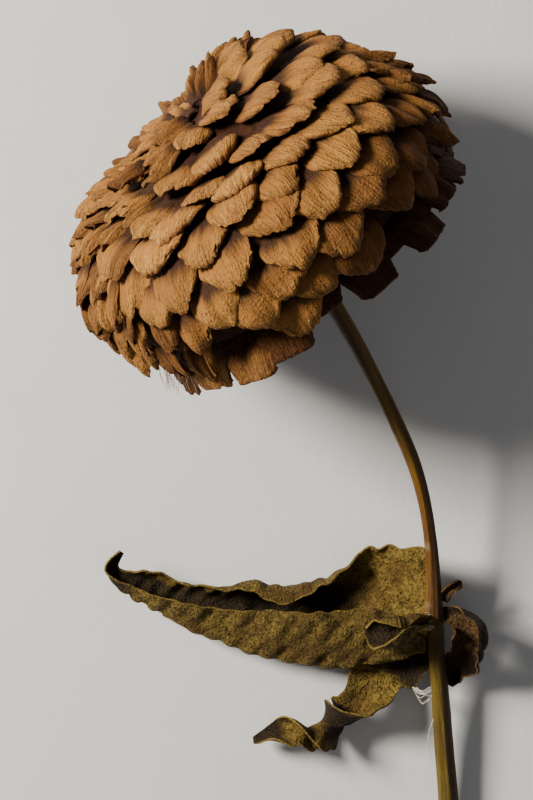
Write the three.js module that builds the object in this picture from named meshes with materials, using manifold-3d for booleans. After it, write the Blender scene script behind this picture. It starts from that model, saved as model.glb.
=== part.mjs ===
// A dried zinnia, cut and laid down: a domed double bloom, its stem, and the curled leaves at one node.
// Millimetres, +Z up from the surface it lies on, +Y along the stem towards the bloom.
// The origin is the middle of the footprint's box, on the surface.
import * as THREE from "three";
import { mergeVertices } from "three/addons/utils/BufferGeometryUtils.js";
import Module from "manifold-3d";

const wasm = await Module();
wasm.setup();

// Driving dimensions of the bloom
const bloomRadius = 40;
const crownHeight = 24.5; // from the widest ring up to the crown
const skirtHeight = 29; // half height of the ellipse that the dome follows below its widest ring
const bloomLean = 35; // degrees that the bloom's axis leans towards -X
const bloomRise = 22; // degrees that the axis rises from the surface
const bloomCentreHeight = 38;
const bulgeHeight = 2.6; // swelling of the dome beside its crown
const bulgeTurn = 23; // degrees round the axis to the swelling
const bulgeAngle = 0.45; // radians round the dome from the crown to the middle of the swelling
const bulgeSpread = 0.36;
const dentDepth = 3.4; // how far the dome dried in on the crown's other sides
const dentTurn = 190; // degrees round the axis to the middle of the sides that dried in
const dentAngle = 0.5; // radians round the dome from the crown to the deepest part
const dentSpread = 0.32;
const petalCount = 140;
const rimAngle = 117; // degrees round the dome from the crown to the rim's petals, in the middle of its droop
const rimDroop = 7; // degrees that the rim hangs lower on one side, and higher on the other
const droopTurn = 185; // degrees round the axis to where the rim hangs lowest
const goldenTurn = 137.508;
const petalSpread = 0.62; // power of the petal's number that sets how far its tip lies from the crown
const crownAngle = 0.6; // radians from the crown within which the petals are narrow
const crownNarrowing = 0.36; // share of their width that the petals at the crown lack
const hollowAngle = 0.07; // radians from the crown to the edge of its hollow, into which petals dive
const petalHalfWidth = 5.7;
const petalThickness = 0.9;
const petalLift = 1.9; // height of a petal's shoulder over the dome
const petalSlope = 0.4; // how steeply a petal rises out of the dome towards its tip
const tipScatter = 0.13; // radians over which the tips of one ring are scattered
const coreDepth = 1.5; // how far the core lies under the dome
const coreSetBack = 13; // degrees that the core ends short of the rim
const coreSides = 22;
const hangingPetalCount = 20;
const hangingHalfWidth = 6.2;
const hangingThickness = 0.9;
const neckTurn = 270; // degrees round the axis to the petal that dried short beside the stem
const neckGap = 6.5; // how much shorter it is
const neckSpread = 0.24; // radians round the axis over which its neighbours are shorter too
const tipNotch = 0.28; // how far a blade's outer corners sit behind its tip, as a share of its half width

// Driving dimensions of the involucre and the stem
const receptacleRadius = 6.5;
const receptacleBase = -11.1; // along the bloom's axis, from its widest ring
const seatGap = 0.3; // clear space between two pieces that touch
const cupHeight = 10;
const cupRadius = 7.6;
const cupFoot = 2.2; // radius of the cup where the stem meets it
const cupSides = 14;
const bractRows = [7, 8, 9];
const bractThickness = 0.65;
const stemSides = 9;
const stemRibs = 0.05; // height of the three soft ribs along the stem, as a share of its radius
const stemSteps = 46;

// Driving dimensions of the leaves
const leafThickness = 0.7;
const leafRows = 13;
const leafColumns = 4; // strips across each half of a leaf

// The point under the bloom's centre, from which every piece below is measured, in the part's own frame
const bloomPlace = new THREE.Vector3(-4.7, 60.59, 0);

const radians = THREE.MathUtils.degToRad;

// One repeatable stream of numbers from 0 to 1
function drawsFrom(seed) {
  let state = seed;
  return () => {
    state = (state * 1664525 + 1013904223) % 4294967296;
    return state / 4294967296;
  };
}

function solidFrom(points, faces) {
  const geometry = new THREE.BufferGeometry().setFromPoints(points);
  geometry.setIndex(faces);
  return solidOf(geometry);
}

function solidOf(geometry) {
  geometry.deleteAttribute("normal");
  geometry.deleteAttribute("uv");
  const merged = mergeVertices(geometry, 1e-4);
  const mesh = new wasm.Mesh({
    numProp: 3,
    vertProperties: new Float32Array(merged.getAttribute("position").array),
    triVerts: new Uint32Array(merged.getIndex().array),
  });
  return new wasm.Manifold(mesh);
}

function geometryFrom(solid) {
  const mesh = solid.getMesh();
  const geometry = new THREE.BufferGeometry();
  geometry.setAttribute("position", new THREE.BufferAttribute(new Float32Array(mesh.vertProperties), 3));
  geometry.setIndex(new THREE.BufferAttribute(new Uint32Array(mesh.triVerts), 1));
  return geometry;
}

// A closed solid over rings of points, one after another, with a fan across each end
function loft(rings) {
  const sides = rings[0].length;
  const points = rings.flat();
  const faces = [];
  const middleOf = (ring) => {
    const middle = new THREE.Vector3();
    ring.forEach((point) => middle.addScaledVector(point, 1 / sides));
    return points.push(middle) - 1;
  };
  const first = middleOf(rings[0]);
  const last = middleOf(rings[rings.length - 1]);
  const lastRing = (rings.length - 1) * sides;
  for (let side = 0; side < sides; side++) {
    const next = (side + 1) % sides;
    for (let row = 0; row < lastRing; row += sides) {
      faces.push(row + side, row + next, row + sides + side);
      faces.push(row + next, row + sides + next, row + sides + side);
    }
    faces.push(first, next, side, last, lastRing + side, lastRing + next);
  }
  return solidFrom(points, faces);
}

// The bloom's own directions: along its axis, across it, and down into the surface
const lean = radians(bloomLean);
const rise = radians(bloomRise);
const bloomAxis = new THREE.Vector3(-Math.sin(lean), Math.cos(lean), Math.tan(rise)).normalize();
const bloomAcross = new THREE.Vector3(Math.cos(lean), Math.sin(lean), 0);
const bloomDeep = new THREE.Vector3().crossVectors(bloomAxis, bloomAcross);
const bloomCentre = new THREE.Vector3(0, 0, bloomCentreHeight);

function bloomPoint(radius, along, turn, side = 0) {
  const x = radius * Math.cos(turn) - side * Math.sin(turn);
  const y = radius * Math.sin(turn) + side * Math.cos(turn);
  return bloomCentre.clone().addScaledVector(bloomAcross, x).addScaledVector(bloomDeep, y)
    .addScaledVector(bloomAxis, along);
}

// A ring round the bloom's axis, from a profile that gives the radius and the place along it at each turn
function bloomRing(profile, sides) {
  return Array.from({ length: sides }, (_, side) => {
    const turn = (side * 2 * Math.PI) / sides;
    return bloomPoint(...profile(turn), turn);
  });
}

// A soft step from 0 at low to 1 at high
function smooth(low, high, value) {
  const share = Math.min(Math.max((value - low) / (high - low), 0), 1);
  return share * share * (3 - 2 * share);
}

// A spot on the dome at an angle from the crown: its place, its outward direction, and the length of a radian
function domeAt(angle, turn) {
  const height = angle < Math.PI / 2 ? crownHeight : skirtHeight;
  const stretch = Math.hypot(bloomRadius * Math.cos(angle), height * Math.sin(angle));
  const out = (height * Math.sin(angle)) / stretch;
  const up = (bloomRadius * Math.cos(angle)) / stretch;
  const facing = Math.max(Math.cos(turn - radians(bulgeTurn)), 0);
  const bulge = bulgeHeight * facing ** 2 * Math.exp(-(((angle - bulgeAngle) / bulgeSpread) ** 2));
  const sunken = smooth(-0.5, 0.1, Math.cos(turn - radians(dentTurn)));
  const dent = dentDepth * sunken * Math.exp(-(((angle - dentAngle) / dentSpread) ** 2));
  return {
    radius: bloomRadius * Math.sin(angle) + (bulge - dent) * out,
    along: height * Math.cos(angle) + (bulge - dent) * up,
    out,
    up,
    stretch,
  };
}

// How far the rim droops at a turn, from -1 to 1
function droopAt(turn) {
  return Math.cos(turn - radians(droopTurn));
}

// A thin arched blade along a spine in one plane through the bloom's axis, from its root to its tip.
// Each spot of the spine has its place, its outward direction and the blade's half width there.
function bladeSolid(turn, spine, thickness, arch, roll, tipToCrown = false) {
  const points = [];
  const widest = Math.max(...spine.map((spot) => spot.half));
  const tipward = tipToCrown ? -1 : 1;
  const put = (spot, share, depth, setBack) => {
    const side = share * spot.half;
    const height = roll * side - arch * (side / widest) ** 2 - depth;
    const radius = spot.radius + height * spot.out - setBack * spot.up * tipward;
    const along = spot.along + height * spot.up + setBack * spot.out * tipward;
    points.push(bloomPoint(radius, along, turn, side + spot.sway));
  };
  spine.forEach((spot, row) => {
    const setBack = row === spine.length - 1 ? tipNotch * spot.half : 0;
    [-1, 0, 1].forEach((share) => put(spot, share, 0, share === 0 ? 0 : setBack));
    [-1, 1].forEach((share) => put(spot, share, thickness, setBack));
  });
  const faces = [];
  const strip = (a, b, c, d) => faces.push(a, d, b, a, c, d);
  for (let row = 0; row + 1 < spine.length; row++) {
    const near = row * 5;
    const far = near + 5;
    strip(near, near + 1, far, far + 1);
    strip(near + 1, near + 2, far + 1, far + 2);
    strip(near + 2, near + 4, far + 2, far + 4);
    strip(near + 4, near + 3, far + 4, far + 3);
    strip(near + 3, near, far + 3, far);
  }
  const tip = (spine.length - 1) * 5;
  faces.push(0, 1, 3, 1, 4, 3, 1, 2, 4);
  faces.push(tip, tip + 3, tip + 1, tip + 1, tip + 3, tip + 4, tip + 1, tip + 4, tip + 2);
  return solidFrom(points, tipToCrown ? faces.reverse() : faces);
}

// The petals that shingle the dome, in a golden spiral from the crown to the rim
function shinglePetals() {
  const draw = drawsFrom(7);
  return Array.from({ length: petalCount }, (_, number) => {
    const share = (number + 0.5) / petalCount;
    const turn = radians(goldenTurn) * number + (draw() - 0.5) * 0.14;
    const rim = radians(rimAngle + rimDroop * droopAt(turn));
    const tipAngle = rim * share ** petalSpread + (draw() - 0.5) * tipScatter;
    const crowned = Math.exp(-((tipAngle / crownAngle) ** 2));
    const width = petalHalfWidth * (0.86 + 0.26 * draw()) * (1 - crownNarrowing * crowned);
    const lift = petalLift + (draw() - 0.5) * 1.1 + 0.5 * crowned;
    const curl = 0.5 + 0.7 * draw();
    const arch = 0.9 + 0.7 * draw();
    const roll = (draw() - 0.5) * 0.2;
    const sway = (draw() - 0.5) * 0.24;
    const spine = [[9.6, 0.7, 0], [3.4, 1, 0], [0, 0.68, curl]].map(([back, half, drop]) => {
      const { stretch } = domeAt(tipAngle, turn);
      const angle = tipAngle - back / stretch;
      const spot = domeAt(Math.max(angle, hollowAngle), turn);
      const dive = Math.max(hollowAngle - angle, 0) * stretch;
      const height = lift - petalSlope * back - dive - drop;
      return {
        ...spot,
        radius: spot.radius + height * spot.out,
        along: spot.along + height * spot.up,
        half: width * half,
        sway: sway * (8 - back),
      };
    });
    return bladeSolid(turn, spine, petalThickness, arch, roll);
  });
}

// The oldest petals, which run out under the dome from the receptacle and hang at the rim
function hangingPetals() {
  const draw = drawsFrom(11);
  return Array.from({ length: hangingPetalCount }, (_, number) => {
    const turn = ((number + 0.4 * (draw() - 0.5)) * 2 * Math.PI) / hangingPetalCount;
    const width = hangingHalfWidth * (0.8 + 0.25 * draw());
    const drop = 2.4 * draw();
    const droop = droopAt(turn);
    const reach = 1.6 * (draw() - 0.5);
    const clear = neckGap * Math.exp(-(((turn - radians(neckTurn)) / neckSpread) ** 2));
    const sway = 1.6 * (draw() - 0.5);
    const layer = 0.5 * (number % 2);
    const spine = [
      [6.8, -9.8, -0.1, 0.99, 1.3, 0],
      [18, -11.1 - layer, 0.1, 0.99, 2.6, 0],
      [32 - 1.4 * droop - 0.6 * clear, -11.6 - 1.6 * droop - layer, 0.6, 0.8, width, 0.5 * sway],
      [36.2 - 2 * droop + reach - clear, -16.4 - 3.4 * droop - drop + 0.5 * clear, 0.97, 0.2, 0.76 * width,
        sway],
    ].map(([radius, along, out, up, half, swayHere]) => ({ radius, along, out, up, half, sway: swayHere }));
    return bladeSolid(turn, spine, hangingThickness, 0.7, 0);
  });
}

// The smaller body in the bloom that its petals stand out of
function coreSolid() {
  const steps = 9;
  const rings = Array.from({ length: steps }, (_, step) => (turn) => {
    const rim = radians(rimAngle + rimDroop * droopAt(turn) - coreSetBack);
    const spot = domeAt((rim * (step + 1)) / steps, turn);
    return [spot.radius - coreDepth * spot.out, spot.along - coreDepth * spot.up];
  });
  rings.push((turn) => [27, -11.8 - 0.9 * droopAt(turn)]);
  rings.push(() => [10, -10.2], () => [receptacleRadius, receptacleBase]);
  return loft(rings.reverse().map((profile) => bloomRing(profile, coreSides)));
}

// What lies above the surface of a solid that sinks a little into it
function restOnSurface(solid) {
  const depth = 50;
  const below = new THREE.BoxGeometry(400, 400, depth).translate(0, 0, -depth / 2);
  return solid.subtract(solidOf(below));
}

// The outer skin of a solid, with the hollows that its petals close off filled
function withoutHollows(solid) {
  const [skin] = solid.decompose().sort((a, b) => b.volume() - a.volume());
  return skin;
}

function bloomSolid() {
  const petals = [...shinglePetals(), ...hangingPetals()];
  return restOnSurface(withoutHollows(wasm.Manifold.union([coreSolid(), ...petals])));
}

// The involucre: a cup under the receptacle, tiled outside with rows of rounded bracts
const cupTop = receptacleBase - seatGap;
const cupBase = cupTop - cupHeight;

function cupAt(share) {
  const swell = Math.sin(share * 0.5 * Math.PI) ** 0.8;
  return { radius: cupFoot + (cupRadius - cupFoot) * swell, along: cupBase + cupHeight * share };
}

function involucreSolid() {
  const draw = drawsFrom(23);
  const cup = loft([0, 0.2, 0.45, 0.75, 1].map((share) => {
    const { radius, along } = cupAt(share);
    return bloomRing(() => [radius, along], cupSides);
  }));
  const bracts = bractRows.flatMap((count, row) => Array.from({ length: count }, (_, number) => {
    const turn = ((number + 0.5 * row + 0.2 * draw()) * 2 * Math.PI) / count;
    const from = 0.06 + 0.2 * row;
    const spine = [[0, 1.5, -0.3], [0.22, 2.4, 0.3], [0.36, 1.7, 0.75]].map(([step, half, height]) => {
      const spot = cupAt(Math.min(from + step, 0.97));
      return { radius: spot.radius + height, along: spot.along, out: 0.9, up: -0.43, half, sway: 0 };
    });
    return bladeSolid(turn, spine, bractThickness, 0.45, 0, true);
  }));
  return wasm.Manifold.union([cup, ...bracts]);
}

// A smooth run through hand-set stations, each a list of numbers, at a share of the whole run
function between(stations, share) {
  const place = Math.min(Math.max(share, 0), 1) * (stations.length - 1);
  const from = Math.min(Math.floor(place), stations.length - 2);
  const t = place - from;
  const [a, b, c, d] = [from - 1, from, from + 1, from + 2]
    .map((index) => stations[Math.min(Math.max(index, 0), stations.length - 1)]);
  return b.map((value, i) => 0.5 * (2 * value + (c[i] - a[i]) * t
    + (2 * a[i] - 5 * value + 4 * c[i] - d[i]) * t * t + (3 * value - a[i] - 3 * c[i] + d[i]) * t * t * t));
}

function directionOf(stations, share) {
  const step = 0.01;
  const ahead = between(stations, share + step);
  const behind = between(stations, share - step);
  return new THREE.Vector3(...ahead).sub(new THREE.Vector3(...behind)).normalize();
}

// The stem, from the cup down to its cut end: place of its middle and its radius
const stemRoute = [
  [13.9, -18.8, 28.6, 1.76],
  [18.9, -26.9, 24.9, 1.6],
  [23.4, -35.3, 21.7, 1.46],
  [27.7, -43.9, 18.6, 1.45],
  [31.4, -52.3, 16, 1.4],
  [33.7, -60.2, 13.8, 1.3],
  [35.1, -68.3, 11.9, 1.32],
  [35.8, -76.9, 10.1, 1.6],
  [35.9, -84.6, 8.7, 2.1],
  [36.6, -93.2, 7.2, 1.7],
  [37.4, -101.9, 5.9, 1.86],
  [38.2, -112.2, 4.7, 2],
  [39.1, -122.5, 3.7, 2.04],
  [39.9, -138.4, 2.6, 2.04],
  [40.7, -154.4, 1.98, 2.04],
];

function stemRings(extraRadius) {
  const start = bloomPoint(0, cupBase - seatGap, 0);
  const route = [[start.x, start.y, start.z, 2], ...stemRoute];
  return Array.from({ length: stemSteps + 1 }, (_, step) => {
    const share = step / stemSteps;
    const [x, y, z, radius] = between(route, share);
    const forward = step === 0 ? bloomAxis.clone().negate() : directionOf(route, share);
    const across = new THREE.Vector3(0, 0, 1).cross(forward).normalize();
    const over = new THREE.Vector3().crossVectors(forward, across);
    return Array.from({ length: stemSides }, (_, side) => {
      const turn = (side * 2 * Math.PI) / stemSides;
      const reach = (radius + extraRadius) * (1 + stemRibs * Math.cos(3 * turn));
      return new THREE.Vector3(x, y, z).addScaledVector(across, reach * Math.cos(turn))
        .addScaledVector(over, reach * Math.sin(turn));
    });
  });
}

// A dried leaf. Each station along its midrib holds its place, its heading over the surface and the turn
// of its face about that heading. Then come, for each half, its width, the angle at which it leaves the
// midrib, how far it bends and how far its edge rolls over. Angles are degrees, from a face that looks up.
function leafPoint(leaf, share, across, depth) {
  const [x, y, z, heading, twist, ...halves] = between(leaf.stations, share);
  const forward = new THREE.Vector3(Math.cos(radians(heading)), Math.sin(radians(heading)), 0);
  const right = new THREE.Vector3(forward.y, -forward.x, 0).applyAxisAngle(forward, radians(twist));
  const face = new THREE.Vector3().crossVectors(right, forward);
  const [width, fold, bend, roll] = across < 0 ? halves.slice(0, 4) : halves.slice(4);
  const point = new THREE.Vector3(x, y, z);
  const steps = 12;
  const reach = Math.abs(across);
  const side = across < 0 ? -1 : 1;
  let angle = radians(fold);
  for (let step = 0; step < steps; step++) {
    const at = (reach * (step + 0.5)) / steps;
    angle = radians(fold + bend * at + roll * at ** 4);
    point.addScaledVector(right, (side * width * reach * Math.cos(angle)) / steps);
    point.addScaledVector(face, (width * reach * Math.sin(angle)) / steps);
  }
  const wave = leaf.ripple * reach * reach * Math.sin(2 * Math.PI * leaf.waves * share + 2 * side);
  return point.addScaledVector(right, -side * Math.sin(angle) * (wave - depth))
    .addScaledVector(face, Math.cos(angle) * (wave - depth));
}

function leafSolid(leaf) {
  const columns = leafColumns * 2;
  const rows = leaf.rows ?? leafRows;
  const points = [];
  const faces = [];
  for (const depth of [0, leafThickness]) {
    for (let row = 0; row <= rows; row++) {
      for (let column = 0; column <= columns; column++) {
        points.push(leafPoint(leaf, row / rows, column / leafColumns - 1, depth));
      }
    }
  }
  const under = (rows + 1) * (columns + 1);
  const quad = (a, b, c, d) => faces.push(a, b, c, a, c, d);
  for (let row = 0; row < rows; row++) {
    for (let column = 0; column < columns; column++) {
      const a = row * (columns + 1) + column;
      const d = a + columns + 1;
      faces.push(a, a + 1, d + 1, a, d + 1, d);
      faces.push(a + under, d + 1 + under, a + 1 + under, a + under, d + under, d + 1 + under);
    }
    const left = row * (columns + 1);
    const rightEdge = left + columns;
    quad(left, left + columns + 1, left + columns + 1 + under, left + under);
    quad(rightEdge + columns + 1, rightEdge, rightEdge + under, rightEdge + columns + 1 + under);
  }
  for (let column = 0; column < columns; column++) {
    const tip = rows * (columns + 1) + column;
    quad(column + 1, column, column + under, column + 1 + under);
    quad(tip, tip + 1, tip + 1 + under, tip + under);
  }
  return solidFrom(points, faces);
}

// Columns: x, y, z, heading, turn of the face, then width, fold, bend and roll of the left half and the right
const largeLeaf = {
  ripple: 0.7,
  waves: 3.4,
  stations: [
    [34.2, -91.6, 8, 179, 81, 3, 66, 12, 0, 22, 86, 8, 0],
    [25.5, -93.8, 6.8, 182, 86, 11.6, 64, 20, 0, 24, 70, 30, 30],
    [14.5, -94.6, 6.4, 178, 90, 12, 62, 25, 0, 25, 47, 70, 90],
    [3, -92.8, 6.2, 170, 90, 10.2, 62, 25, 0, 22.5, 38, 86, 175],
    [-8, -89.4, 5.8, 162, 90, 7.2, 60, 20, 0, 17, 44, 74, 125],
    [-19, -84.6, 5.8, 154, 88, 4.8, 60, 10, 0, 9.4, 42, 80, 50],
    [-27.7, -79.6, 6.6, 140, 80, 2.4, 50, 10, 0, 6.6, 50, 60, 60],
    [-31.4, -74.9, 7.8, 100, 60, 1.3, 40, 10, 0, 2.4, 30, 20, 0],
    [-28.9, -70.8, 8.8, 60, 40, 0.8, 30, 0, 0, 1, 20, 0, 0],
  ],
};
const smallLeaf = {
  ripple: 0.2,
  waves: 2,
  rows: 8,
  stations: [
    [35.2, -84.7, 10.4, 195, 0, 1.4, 40, 60, 0, 1.4, 40, 60, 0],
    [32.4, -85.4, 12, 195, 0, 4.6, 20, 130, 0, 4.6, 20, 120, 0],
    [29.4, -86.4, 12.4, 193, 0, 8.4, 12, 155, 0, 7.8, 12, 150, 0],
    [26.4, -87.2, 12.4, 188, 0, 8.2, 12, 130, 0, 7, 12, 120, 0],
    [23.8, -87.5, 12.6, 180, 0, 5.2, 10, 90, 0, 4.4, 10, 90, 0],
    [21.8, -87.3, 13, 170, 0, 0.8, 10, 20, 0, 0.8, 10, 20, 0],
  ],
};
const lowerLeaf = {
  ripple: 0.5,
  waves: 3,
  stations: [
    [35.4, -87.4, 5.7, 236, 0, 1.6, 0, 0, 0, 1.6, 0, 0, 0],
    [32.2, -91.2, 3.6, 228, 0, 4.6, 0, 10, 0, 4.2, 0, 10, 0],
    [28, -94.2, 3, 222, 0, 6.6, 0, 15, 0, 4.6, 5, 20, 0],
    [23.8, -97, 3.5, 248, 5, 6, 5, 25, 0, 4.8, 0, 15, 0],
    [22, -101.8, 5, 256, 12, 5.4, 10, 30, 0, 5.2, 10, 40, 0],
    [19, -106, 6.8, 226, 80, 6.2, 20, 70, 0, 6.8, 20, 80, 0],
    [13.8, -107, 7.2, 196, 210, 6, 20, 80, 0, 6.4, 20, 80, 0],
    [8.6, -107.8, 6.2, 198, 325, 4.8, 20, 70, 0, 4.8, 20, 70, 0],
    [3.4, -109.4, 5, 190, 400, 3.4, 10, 60, 0, 3.4, 10, 60, 0],
    [-1.5, -110.2, 4.2, 184, 430, 0.7, 10, 0, 0, 0.7, 10, 0, 0],
  ],
};
const rightLeaf = {
  ripple: 0.6,
  waves: 3,
  rows: 10,
  stations: [
    [38, -84, 8.2, 10, 0, 1.6, 20, 20, 0, 1.6, 20, 20, 0],
    [41.2, -84, 9.6, -30, 10, 3, 20, 70, 0, 3.4, 20, 60, 0],
    [43.9, -86.2, 10.4, -66, 14, 5.4, 20, 90, 40, 5, 10, 60, 0],
    [44.7, -89.8, 9.8, -92, 8, 6, 25, 90, 60, 5.6, 5, 50, 20],
    [43, -93.2, 7.4, -116, 0, 4.6, 20, 80, 40, 5, 10, 40, 0],
    [40.8, -96.2, 5, -118, 0, 2.8, 15, 60, 0, 4, 10, 30, 0],
    [39.2, -98.8, 4, -120, 0, 0.8, 10, 10, 0, 0.8, 10, 10, 0],
  ],
};
const shootLeaf = {
  ripple: 0.1,
  waves: 1,
  rows: 5,
  stations: [
    [37.8, -81, 9.4, 62, 0, 0.8, 20, 20, 0, 0.8, 20, 20, 0],
    [38.8, -79, 10.2, 50, 0, 1.4, 30, 60, 0, 1.4, 30, 60, 0],
    [40.4, -77.8, 10.6, 25, 0, 1.2, 30, 60, 0, 1.2, 30, 60, 0],
    [41.8, -77.4, 10.6, 15, 0, 0.6, 10, 10, 0, 0.6, 10, 10, 0],
  ],
};

// A leaf clasps the stem: its base ends just clear of it
const stemRoom = loft(stemRings(seatGap));
function leafAtStem(leaf) {
  return leafSolid(leaf).subtract(stemRoom);
}

// The whole flower, each piece in a node of its own
const flower = new THREE.Group();
flower.position.copy(bloomPlace);

function addPiece(name, solid, colour, roughness) {
  const material = new THREE.MeshStandardMaterial({ color: colour, roughness, metalness: 0 });
  const mesh = new THREE.Mesh(geometryFrom(solid), material);
  mesh.name = name;
  flower.add(mesh);
}

addPiece("bloom", bloomSolid(), 0xb07a45, 0.95);
addPiece("involucre", involucreSolid(), 0x5a4426, 0.9);
addPiece("stem", restOnSurface(loft(stemRings(0))), 0x7d5f24, 0.7);
addPiece("leaf_large", leafAtStem(largeLeaf), 0x6f6131, 0.9);
addPiece("leaf_lower", leafAtStem(lowerLeaf), 0x6a6434, 0.9);
addPiece("leaf_small", leafAtStem(smallLeaf), 0x7a6a3a, 0.9);
addPiece("leaf_right", leafAtStem(rightLeaf), 0x46301c, 0.9);
addPiece("leaf_shoot", leafAtStem(shootLeaf), 0x3d2a19, 0.9);

export default flower;
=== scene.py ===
import math

import bpy
import numpy as np
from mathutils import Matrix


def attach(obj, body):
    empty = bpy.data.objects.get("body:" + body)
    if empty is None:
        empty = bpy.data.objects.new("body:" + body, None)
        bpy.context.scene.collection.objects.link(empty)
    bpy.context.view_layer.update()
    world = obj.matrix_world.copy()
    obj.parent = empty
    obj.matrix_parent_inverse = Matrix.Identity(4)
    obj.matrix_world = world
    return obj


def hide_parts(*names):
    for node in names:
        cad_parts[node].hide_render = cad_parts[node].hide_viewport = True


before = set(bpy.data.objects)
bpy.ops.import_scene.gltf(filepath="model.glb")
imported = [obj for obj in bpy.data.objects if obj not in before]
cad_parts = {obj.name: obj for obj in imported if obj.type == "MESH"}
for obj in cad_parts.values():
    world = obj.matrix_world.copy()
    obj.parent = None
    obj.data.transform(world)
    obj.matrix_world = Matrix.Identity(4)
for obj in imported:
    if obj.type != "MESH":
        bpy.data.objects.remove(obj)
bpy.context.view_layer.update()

# Lengths are millimetres until a mesh is written. The stem, the leaves and the threads are set out in the
# flower's own frame, which starts on the floor under the middle of the bloom.
MM = 0.001
bloom_place = np.array([-4.7, 60.59, 0.0])
golden_turn = math.radians(137.508)


def deselect():
    bpy.ops.object.select_all(action="DESELECT")


def draws_from(seed):
    """One repeatable stream of numbers from 0 to 1."""
    state = seed
    while True:
        state = (state * 1664525 + 1013904223) % 4294967296
        yield state / 4294967296


def smooth(low, high, value):
    """A soft step from 0 at low to 1 at high."""
    share = np.clip((value - low) / (high - low), 0, 1)
    return share * share * (3 - 2 * share)


def hump(spot, middle, spread):
    """A soft hump, 1 at its middle and nearly 0 two spreads away."""
    return np.exp(-(((spot - middle) / spread) ** 2))


def facing(turn, degrees, power=1):
    """From 0 to 1, how well a turn of the bloom faces the one given in degrees."""
    return max(math.cos(turn - math.radians(degrees)), 0) ** power


# The camera looks straight down on the flower, from 0.8 m over the height of the bloom's middle
bpy.ops.object.camera_add(location=(-0.0034, 0.02119, 0.838), rotation=(0, 0, 0))
camera = bpy.context.object
camera.data.lens = 180
camera.data.sensor_width = 36
camera.data.clip_start = 0.01
bpy.context.scene.camera = camera


def soft_light(name, place, size, power, colour):
    """A square studio light that faces a point 30 mm over the origin."""
    bpy.ops.object.light_add(type="AREA", location=place)
    light = bpy.context.object
    light.name = name
    light.data.size = size
    light.data.energy = power
    light.data.color = colour
    aim = light.location.copy()
    aim.z -= 0.03
    light.rotation_euler = aim.to_track_quat("Z", "Y").to_euler()


soft_light("key_light", (-0.62, 0.24, 0.46), 0.24, 15.5, (1, 0.95, 0.87))
soft_light("fill_light", (0.3, -0.3, 0.9), 0.8, 0.7, (0.95, 0.97, 1))

world = bpy.data.worlds.new("studio")
bpy.context.scene.world = world
world.use_nodes = True
background = world.node_tree.nodes["Background"]
background.inputs["Color"].default_value = (0.97, 0.97, 1, 1)
background.inputs["Strength"].default_value = 0.11


# Finishes
class Value:
    """A socket of a finish, on which arithmetic adds Math nodes."""

    def __init__(self, finish, socket):
        self.finish = finish
        self.socket = socket

    def __add__(self, other):
        return self.finish.math("ADD", self, other)

    def __radd__(self, other):
        return self.finish.math("ADD", other, self)

    def __sub__(self, other):
        return self.finish.math("SUBTRACT", self, other)

    def __rsub__(self, other):
        return self.finish.math("SUBTRACT", other, self)

    def __mul__(self, other):
        return self.finish.math("MULTIPLY", self, other)

    def __rmul__(self, other):
        return self.finish.math("MULTIPLY", other, self)


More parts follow.
